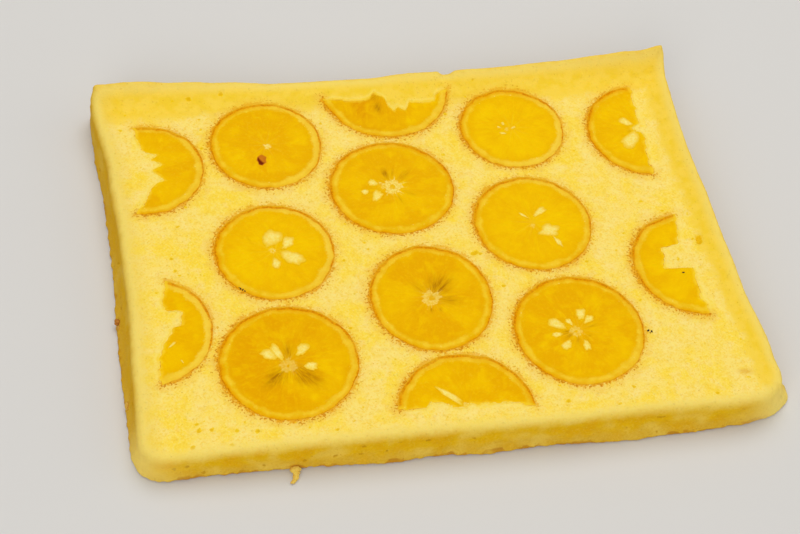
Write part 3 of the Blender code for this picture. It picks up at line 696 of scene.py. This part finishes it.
def on_slice(name, x, y):
    """Height above the sheet, and the tones, of points on a slice's face."""
    cx, cy, wide, _, tone = SLICES[name]
    radius, turn, wedge, rim, flesh_edge = slice_field(name, x, y)
    dx, dy = x - cx, y - cy
    inward = rim - radius
    torn = outside_slice(name, x, y)[2]
    # The zest shows a little to the near side of the outline, where the skin leans out.
    shown_in = inward - 0.95 * dy / np.maximum(radius, 1e-6)
    lift = 0.16 + 0.10 * ease(inward, 0.1, 1.4) - 0.22 * ease(flesh_edge - radius, -0.2, 1.6)
    lift = lift - 0.10 * ease(inward, 0.25, 0.0)
    across = np.abs((wedge + 0.5) % 1 - 0.5) * 2 * math.pi * radius / SEGMENTS
    in_flesh = ease(flesh_edge - radius, 0, 1.5) * ease(radius, 1.5, 4)
    lift = lift + 0.05 * np.exp(-((across / 0.6) ** 2)) * in_flesh * ease(radius, 16, 6)
    points = np.stack((wedge * 4, radius / 5, np.full_like(radius, cx)), 1)
    lift = lift + 0.05 * ripple(points, 1.0) * in_flesh
    lift = lift - 0.08 * ease(torn, -1.6, -0.2)
    core, shine = np.zeros_like(radius), 0
    comb = np.ones_like(radius)
    if name in CORES:
        kx, ky, reach, hollow, rays, bright = CORES[name]
        from_core = np.hypot(dx - kx, dy - ky)
        around = round_circle(np.arctan2(dy - ky, dx - kx), cx)
        edge_at = reach * (0.8 + 0.4 * ripple(around, 0.35, 2))
        ray = np.clip(ripple(around, 0.11, 6) * 2.6 - 0.35, 0, 1) * min(rays, 1)
        core = ease(from_core, edge_at + 0.7, edge_at - 0.6)
        core = np.maximum(core, 0.8 * ray * ease(from_core, edge_at + rays, edge_at - 0.5))
        if hollow:
            core = core * (1 - 0.9 * ease(from_core, hollow * 1.5, hollow * 0.4))
        lift = lift + 0.2 * core * bright
        shine = bright
        comb = np.clip(0.9 + 0.7 * ripple(around, 0.12, 8), 0.3, 1.25)
    bruise = np.zeros_like(radius)
    for bx, by, length, width, angle, depth in BRUISES.get(name, ()):
        ahead, aside = turned(dx - bx, dy - by, -angle)
        spot = np.exp(-((ahead / length * 2) ** 2) - (aside / width * 2) ** 2)
        bruise = np.maximum(bruise, depth * spot * comb)
        lift = lift - 0.2 * depth * spot
    hole = np.zeros_like(radius)
    if name == "slice_1":
        hx, hy, length, width, angle = SEED_HOLE
        ahead, aside = turned(dx - hx, dy - hy, -angle)
        ragged = 1 + 0.3 * ripple(np.stack((dx, dy, dx * 0), 1), 2.4)
        inside = 1 - np.hypot(ahead / length, aside / width) * ragged
        # Painted shade in the hole: it deepens inwards and is strongest on the front left side.
        hole = ease(inside, -0.12, 0.2) * (0.56 + 0.44 * ease(ahead - aside * 0.9, 0.9, -1.2))
        lift = lift - 0.9 * ease(inside, 0.0, 0.6)
    pale_side, pale = WEDGES[name][1:]
    shown = {"inward": shown_in, "to_torn": np.minimum(-torn, 9), "into_flesh": flesh_edge - radius,
             "core": core, "core_bright": np.full_like(radius, shine), "bruise": bruise,
             "seed_hole": hole, "tone": tone - TONE_TURN.get(name, 0) * dx / wide,
             "wedge_turn": wedge, "radius": radius,
             "pale": pale * (0.5 + 0.5 * np.cos(turn - pale_side)) ** 1.5}
    return lift, shown


flesh = Finish("orange_slice", Specular_IOR_Level=0.05, Specular_Tint=(1.0, 0.7, 0.0, 1.0),
               Subsurface_Weight=0.08, Subsurface_Scale=0.003, Subsurface_Radius=(1.0, 0.5, 0.1))
turn_at, radius_at, into = flesh.kept("wedge_turn"), flesh.kept("radius"), flesh.kept("into_flesh")
pale_at = flesh.kept("pale")
fine, middling = flesh.grain(1.2, 3), flesh.grain(5, 2)
# Streaks that run out from the core: narrow ones, and wide ones that differ from slice to slice.
polar = flesh.add("ShaderNodeCombineXYZ", {"X": flesh.times(turn_at, 0.0085),
                                           "Y": flesh.times(radius_at, 0.0002)})
streak = flesh.grain(1.0, 3, polar.outputs[0], rough=0.6)
polar = flesh.add("ShaderNodeCombineXYZ", {"X": flesh.times(turn_at, 0.0018),
                                           "Y": flesh.times(radius_at, 0.00009),
                                           "Z": flesh.times("tone", 0.01)})
streak_wide = flesh.grain(1.0, 2, polar.outputs[0])
# The segments are a little deeper towards the pith, and their walls show as faint lines by the core.
pulp = flesh.lay(flesh.blend("tone", (240, 186, 0), (224, 152, 0)),
                 ((streak_wide, 0.52, 0.72), 0.4, (247, 203, 0)),
                 ((streak_wide, 0.48, 0.28), 0.4, (233, 172, 0)),
                 ((flesh.grain(19, 1), 0.45, 0.65), 0.35, (249, 206, 0)),
                 ((streak, 0.50, 0.68), 0.20, (249, 206, 0)),
                 ((streak, 0.48, 0.32), 0.16, (228, 162, 0)),
                 ((middling, 0.52, 0.68), 0.22, (250, 206, 0)),
                 ((fine, 0.52, 0.70), 0.16, (252, 208, 0)),
                 ((into, 5.0, 0.5), 0.4, (232, 174, 0)))
to_membrane = flesh.times(flesh.sum_of(turn_at, 0.5, "PINGPONG"), flesh.times(radius_at, 0.628))
hollow = flesh.blend((streak, 0.35, 0.62), (172, 112, 2), (208, 150, 2))
core_at = flesh.fade(flesh.stray("core", fine, 0.2), 0.1, 0.9)
core_tone = flesh.blend((fine, 0.35, 0.65), (240, 202, 76), (250, 224, 118))
pulp = flesh.lay(pulp, ((to_membrane, 0.6, 0.1), (radius_at, 13, 4, 0.0, 0.14),
                        (247, 208, 60)))
pulp = flesh.blend("bruise", pulp, hollow)
pulp = flesh.lay(pulp, (core_at, "core_bright", core_tone))
# The pith is palest along its inner side. An orange band runs outside it, widest where it isn't pale.
pith = flesh.lay(flesh.blend((middling, 0.35, 0.65), (234, 184, 10), (242, 198, 40)),
                 (pale_at, 0.75, (246, 210, 72)),
                 ((fine, 0.55, 0.72), 0.3, (249, 214, 84)))
colour = flesh.blend((flesh.stray(into, fine, 0.6), -0.9, 1.0), pith, pulp)
fleck = flesh.times(flesh.spots(2.4, 0.5, 0.3),
                    flesh.times((into, -2.4, -0.6), (into, 1.6, 0.4)))
# The zest is a thin line, darker in places; the skin of the sponge just overlaps it on the far side.
# Beside a torn edge a film of batter has run over the flesh.
line = flesh.stray("inward", middling, 0.3)
uneven = flesh.fade(flesh.grain(11, 1), 0.35, 0.6, 0.6, 0.95)
band = flesh.times((line, 3.4, 1.5), (pale_at, 0.5, 0.02, 0.3, 0.9))
zest = flesh.blend((fine, 0.35, 0.65), (206, 122, 0), (230, 152, 0))
film = flesh.stray("to_torn", middling, 0.8)
colour = flesh.lay(colour, (fleck, 0.6, (249, 218, 100)),
                   (band, uneven, (232, 166, 0)),
                   ((line, 1.5, 0.6), uneven, zest),
                   (flesh.spots(0.95, 0.34, (line, 1.8, 0.2)), 0.6, (184, 104, 0)),
                   ((line, 0.0, -0.5), 0.8, (233, 180, 30)),
                   ((film, 2.2, 0.0), 0.75, (248, 206, 44)))
# Painted shade in the pip's hole: dark orange at its edge, near black-red deep in it.
hole_shade = flesh.kept("seed_hole")
colour = flesh.blend((hole_shade, 0.05, 0.5), colour, (206, 122, 24))
colour = flesh.blend((hole_shade, 0.56, 1.05), colour, (112, 26, 4))
sacs = flesh.sum_of(flesh.times(streak, 0.8), flesh.times(fine, 0.3))
flesh.done(colour, (streak, 0.3, 0.7, 0.52, 0.42), sacs, 0.0001)

for name, (cx, cy, wide, deep, _) in SLICES.items():
    mesh = pattern.data.copy()
    orange = new_object("orange_" + name, mesh)
    flat = points_of(mesh).astype(float)
    share = np.hypot(flat[:, 0], flat[:, 1])
    rim, flesh_edge = slice_field(name, cx + wide * flat[:, 0], cy + deep * flat[:, 1])[3:]
    in_pith = flesh_edge + (rim - flesh_edge) * (share - PITH_BAND) / (1 - PITH_BAND)
    in_flesh = CORE + (flesh_edge - CORE) * (share - CORE_BAND) / (PITH_BAND - CORE_BAND)
    out = np.where(share > PITH_BAND, in_pith,
                   np.where(share > CORE_BAND, in_flesh, CORE * share / CORE_BAND))
    angle = np.arctan2(flat[:, 1] * deep, flat[:, 0] * wide)
    shape(mesh, np.stack((cx + out * np.cos(angle), cy + out * np.sin(angle),
                          SLICE_THICKNESS * flat[:, 2]), 1) + SETTLED)
    if name in TORN_EDGE:
        # The covered half is cut away along the torn line with a tall block of that outline.
        side, line = TORN_EDGE[name][0], torn_line(name)
        block = bpy.data.meshes.new("covered_half")
        ends = [(px + side[0] * FAR, py + side[1] * FAR) for px, py in (line[-1], line[0])]
        corners = [(Vector((px + cx, py + cy, -BLOCK)) + Vector(SETTLED)) * 0.001
                   for px, py in line + ends]
        block.from_pydata(corners, [], [list(range(len(corners)))])
        cover = new_object("covered_half", block)
        bpy.ops.object.select_all(action="DESELECT")
        cover.select_set(True)
        bpy.context.view_layer.objects.active = cover
        bpy.ops.object.mode_set(mode="EDIT")
        bpy.ops.mesh.select_all(action="SELECT")
        bpy.ops.mesh.extrude_region_move(TRANSFORM_OT_translate={"value": (0, 0, 0.002 * BLOCK)})
        face_out()
        cut = orange.modifiers.new("covered", "BOOLEAN")
        cut.operation, cut.solver, cut.object = "DIFFERENCE", "EXACT", cover
        bpy.context.view_layer.objects.active = orange
        bpy.ops.object.modifier_apply(modifier="covered")
        bpy.data.objects.remove(cover)
        mesh = orange.data
    flat = points_of(mesh) * 1000.0 - SETTLED
    lift, shown = on_slice(name, flat[:, 0], flat[:, 1])
    flat[:, 2] += top_height(flat[:, 0], flat[:, 1]) + lift
    shape(mesh, flat + SETTLED)
    for field, values in shown.items():
        keep(mesh, field, values)
    mesh.shade_smooth()
    mesh.set_sharp_from_angle(angle=math.radians(50))
    mesh.materials.clear()
    mesh.materials.append(flesh.material)
    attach(orange, "root")
    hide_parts(name)
bpy.data.objects.remove(pattern)

# ---- Filled seed pockets ------------------------------
# Where pips were taken out or a segment was open, batter has run in and set as small pale plugs,
# flush with the flesh. They are long and pointed towards the core, as the pockets were.
# name: (x, y from the slice's centre, length, width, turn)
POCKETS = {
    "slice_2": ((-9.9, 3.9, 6, 5.4, 150), (-15.3, -1.9, 4.4, 4.4, 0), (-9.2, -5.6, 8.2, 6.2, 60)),
    "slice_3": (
        (-4.3, 3.4, 3.0, 2.2, 100), (-5.6, -3.6, 4.0, 2.0, 170), (0.7, 0.0, 3.4, 1.8, 20),
        (-7.0, 1.0, 2.4, 1.6, 150)),
    "slice_4": (
        (5.2, 6.8, 9.6, 5.2, 35), (7.6, -6.4, 12, 10.5, 20), (10.8, -14.0, 8, 3.4, -62),
        (-4.1, 5.0, 6.2, 2.0, 140)),
    "slice_5": (
        (-0.6, 8.9, 12, 13, 60), (7.5, 5.0, 10, 7.6, 55), (8.0, -4.4, 13, 10, -35),
        (-0.4, -8.2, 7, 5.6, 80)),
    "slice_7": (
        (-9.6, 4.9, 9.6, 6.6, 140), (-5.2, 6.1, 10.6, 6.4, 110), (7.2, 6.2, 9.4, 7, 55),
        (10.5, -3.9, 6.6, 6, 0)),
    "slice_8": (
        (-10.7, 4.4, 10.4, 7.2, 150), (-4.2, 5.0, 5.4, 3.4, 120), (2.8, 9.3, 7.6, 6.0, 85),
        (6.2, 5.7, 7.4, 5.2, 40), (-12.2, -2.2, 5.8, 3.6, 180), (-8.6, -9.2, 7.2, 5.8, 230),
        (1.5, -10.3, 7.4, 4.2, 275)),
    "half_slice_3": ((-9, 6, 8.8, 6.6, 140), (-9.5, -6.6, 14.5, 9.6, 226)),
    "half_slice_5": ((11.0, -9.6, 6.6, 1.5, 38), (15.0, -20.0, 2.6, 1.0, 120)),
    "half_slice_6": ((-8.1, 10.8, 16.0, 4.2, -42),),
}

plug = Finish("pocket_sponge", Specular_IOR_Level=0.2, Subsurface_Weight=0.06, Subsurface_Scale=0.004)
fine = plug.grain(1.3, 3)
colour = plug.blend((fine, 0.35, 0.68), (248, 214, 84), (252, 230, 126))
colour = plug.blend(("rim_of_plug", 0.4, 1.02), colour, (243, 194, 18))
plug.done(colour, (fine, 0.3, 0.7, 0.7, 0.88), plug.grain(0.9, 3), 0.00022)


def join(pieces, name):
    """Joins the pieces of one kind into one smooth mesh."""
    bpy.ops.object.select_all(action="DESELECT")
    for piece in pieces:
        piece.select_set(True)
    bpy.context.view_layer.objects.active = pieces[0]
    bpy.ops.object.join()
    whole = bpy.context.object
    whole.name = whole.data.name = name
    whole.data.shade_smooth()
    return whole


plugs = []
for name, pockets in POCKETS.items():
    for px, py, length, width, angle in pockets:
        bpy.ops.object.select_all(action="DESELECT")
        bpy.ops.mesh.primitive_uv_sphere_add(segments=36, ring_count=17, radius=1)
        fill = bpy.context.object
        mesh = fill.data
        ball = points_of(mesh).astype(float)
        around = np.arctan2(ball[:, 1], ball[:, 0])
        ring = np.hypot(ball[:, 0], ball[:, 1])
        outline = round_circle(around, px * 3.1 + py * 1.3)
        ragged = 1 + 0.36 * ripple(outline, 0.6) + 0.16 * ripple(outline, 0.28, 3)
        pointed = 1 - 0.12 * np.clip(-np.cos(around), 0, 1) ** 2 * np.abs(np.sin(around)) ** 0.5
        ax = ring * np.cos(around) * ragged * length / 2
        ay = ring * np.sin(around) * ragged * pointed * (0.82 + 0.22 * np.cos(around)) * width / 2
        ax, ay = turned(ax, ay, angle)
        x, y = SLICES[name][0] + px + ax, SLICES[name][1] + py + ay
        swell = 0.18 * np.sqrt(np.clip(1 - ring ** 2, 0, 1))
        swell = swell + 0.05 * ripple(np.stack((x, y, x * 0), 1), 1.5)
        z = top_height(x, y) + 0.05 + np.where(ball[:, 2] >= -1e-6, swell + 0.06,
                                               -0.9 * np.abs(ball[:, 2]))
        shape(mesh, np.stack((x, y, z), 1) + SETTLED)
        keep(mesh, "rim_of_plug", ring)
        mesh.materials.append(plug.material)
        plugs.append(fill)
pocket_sponge = join(plugs, "pocket_sponge")
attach(pocket_sponge, "root")

# ---- Crumbs ------------------------------
# Bits of the sponge itself: a shred that hangs from the front edge, browned crumbs stuck to the left
# wall, and a few scorched specks by two of the slices.
# (x, y, height, length, width, thickness, turn, tone from 0, pale, through 1, browned, to 2, scorched)
CRUMBS = (
    (-86.8, -121.6, 1.6, 5.4, 3.8, 1.5, 4, 0.3), (-86.5, -123.6, 1.2, 3.8, 3.4, 1.1, 60, 0.3),
    (-87.0, -125.6, 1.0, 3.0, 3.4, 0.9, 20, 0.35), (-88.0, -127.4, 0.8, 3.2, 2.0, 0.7, 50, 0.4),
    (-89.2, -128.2, 0.6, 2.0, 1.2, 0.5, 10, 0.5),
    (-165.6, -25.8, 3.6, 3.6, 2.8, 1.7, 84, 1.0), (-164.9, -28.6, 2.4, 3.0, 2.2, 1.2, 84, 0.7),
    (-164.9, -77.0, 3.0, 4.0, 2.4, 1.5, 84, 0.55),
    (102.9, -69.9, 0, 1.5, 1.0, 0.5, 20, 2.0), (104.6, -70.6, 0, 1.3, 0.9, 0.5, 110, 2.0),
    (103.6, -71.4, 0, 0.7, 0.6, 0.3, 0, 1.4),
    (-102.7, -23.6, 0, 1.5, 0.8, 0.45, 120, 2.0), (-101.6, -24.4, 0, 1.2, 0.8, 0.45, 50, 2.0),
    (-100.7, -25.3, 0, 1.1, 0.6, 0.4, 130, 2.0), (-103.4, -22.9, 0, 0.7, 0.5, 0.3, 0, 1.5),
    (131.6, -34.3, 0, 1.7, 0.7, 0.4, -12, 1.9),
)

toasted = Finish("toasted_crumb", Specular_IOR_Level=0.2)
fine = toasted.grain(0.9, 3)
tone_at = toasted.kept("toast")
colour = toasted.lay(toasted.blend((tone_at, 0.2, 1.0), (240, 208, 90), (168, 104, 34)),
                     ((fine, 0.45, 0.7), 0.5, (226, 168, 70)))
colour = toasted.blend((tone_at, 1.1, 1.9), colour, (58, 46, 30))
toasted.done(colour, (fine, 0.3, 0.7, 0.7, 0.9), fine, 0.0002)
bits = []
for px, py, high, length, width, thick, angle, tone in CRUMBS:
    bpy.ops.object.select_all(action="DESELECT")
    bpy.ops.mesh.primitive_ico_sphere_add(subdivisions=4 if length > 2 else 2, radius=1)
    bit = bpy.context.object
    mesh = bit.data
    ball = points_of(mesh).astype(float)
    ball = ball * (1 + 0.28 * ripple(ball, 0.7, px) + 0.14 * ripple(ball, 0.3, py))[:, None]
    ax, ay = turned(ball[:, 0] * length / 2, ball[:, 1] * width / 2, angle)
    base = high if high else float(top_height(px, py)) + 0.12
    place = np.stack((px + ax, py + ay, np.maximum(base + ball[:, 2] * thick, 0.02)), 1)
    shape(mesh, np.clip(place + SETTLED, lowest, highest))
    keep(mesh, "toast", np.full(len(place), tone))
    mesh.materials.append(toasted.material)
    bits.append(bit)
crumbs = join(bits, "crumbs")
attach(crumbs, "root")

# ---- Floor and light ------------------------------
# A plain pale floor, a hair under the sheet so that the two never share a plane. The key light stands
# high behind the sheet, a fill low in front, a weak one low on the right, with soft light all round.
bpy.ops.mesh.primitive_plane_add(size=8, location=(0, 0, -0.0003))
floor = bpy.context.object
floor.name = "floor"
floor.data.materials.append(
    Finish("floor", Base_Color=(0.66, 0.645, 0.62, 1), Roughness=0.8).material)


def soft_light(name, azimuth, elevation, distance, size, power):
    """A square soft light aimed at the middle of the sheet."""
    lamp = bpy.data.lights.new(name, "AREA")
    lamp.size = size
    lamp.energy = power
    item = new_object(name, lamp)
    a, e = math.radians(azimuth), math.radians(elevation)
    away = Vector((math.sin(a) * math.cos(e), -math.cos(a) * math.cos(e), math.sin(e)))
    item.location = away * distance
    item.rotation_euler = (-away).to_track_quat("-Z", "Y").to_euler()


soft_light("key", 165, 66, 2.2, 1.6, 23)
soft_light("fill", -28, 36, 2.6, 1.6, 23)
soft_light("side", 80, 24, 2.6, 1.6, 6)
world = bpy.data.worlds.new("studio")
bpy.context.scene.world = world
world.use_nodes = True
sky = world.node_tree.nodes["Background"].inputs
sky["Color"].default_value = (1.0, 0.985, 0.96, 1)
sky["Strength"].default_value = 0.43
bpy.context.scene.view_settings.view_transform = "Standard"

# ---- Camera ------------------------------
# It looks down on the sheet from the front left, about 51 degrees above the floor. Its lens, place and
# turn were solved from the photo, so that the sheet lies in the picture as it does there.
view = bpy.data.cameras.new("camera")
view.sensor_width = 36
view.lens = 85.83
camera = new_object("camera", view)
camera.location = (-0.2058, -0.6040, 0.7972)
camera.rotation_euler = [math.radians(angle) for angle in (38.2062, -5.98, -9.8166)]
bpy.context.scene.camera = camera
